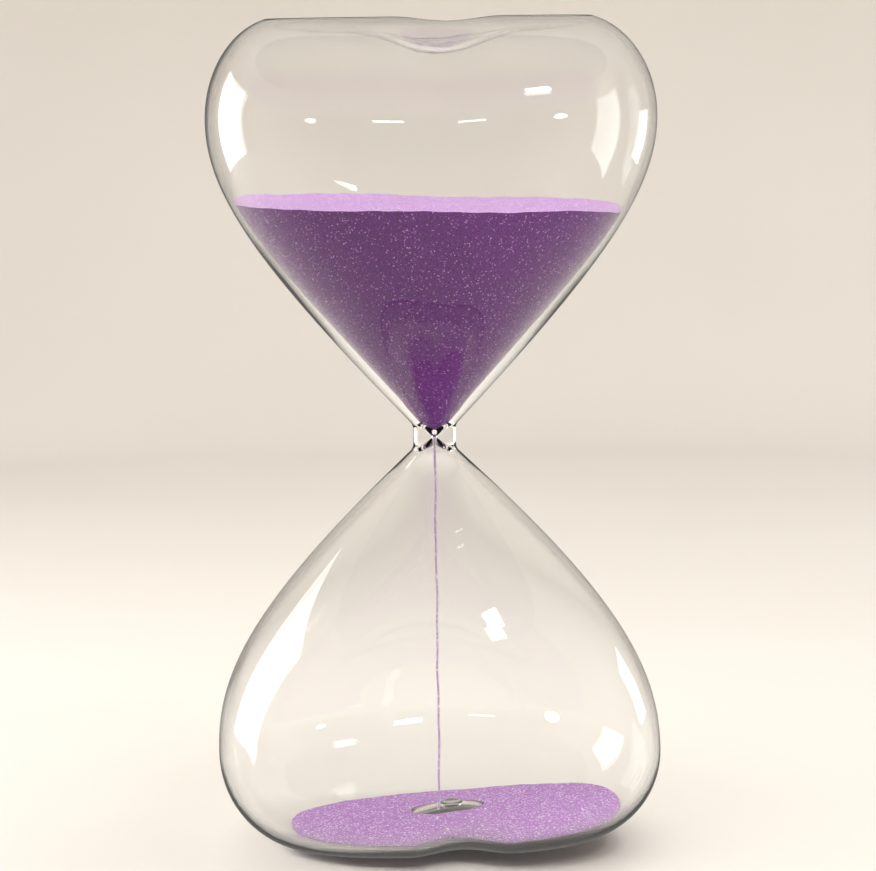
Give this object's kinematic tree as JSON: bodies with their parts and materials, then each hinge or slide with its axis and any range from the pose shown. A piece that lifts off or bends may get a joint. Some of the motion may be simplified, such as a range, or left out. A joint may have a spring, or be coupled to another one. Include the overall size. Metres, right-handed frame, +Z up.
{
  "type": "hourglass",
  "caption": "Frameless blown-glass hourglass whose bulbs end in two heart-like lobes, with purple sand running through the fused neck.",
  "frame": {"origin": "on the surface it stands on, under the sand hole of the neck", "axes": "+Z up along the neck, +X from lobe to lobe, -Y towards the side with the deeper cleft"},
  "size_m": [0.107, 0.094, 0.2],
  "materials": {
    "clear_glass": "clear blown borosilicate glass",
    "violet_sand": "fine dyed sand with small bright glints"
  },
  "bodies": {
    "root": {"upper_bulb": "clear_glass", "lower_bulb": "clear_glass", "throat": "clear_glass", "filling_seal": "clear_glass", "upper_sand": "violet_sand", "lower_sand": "violet_sand", "sand_stream": "violet_sand"}
  },
  "joints": []
}
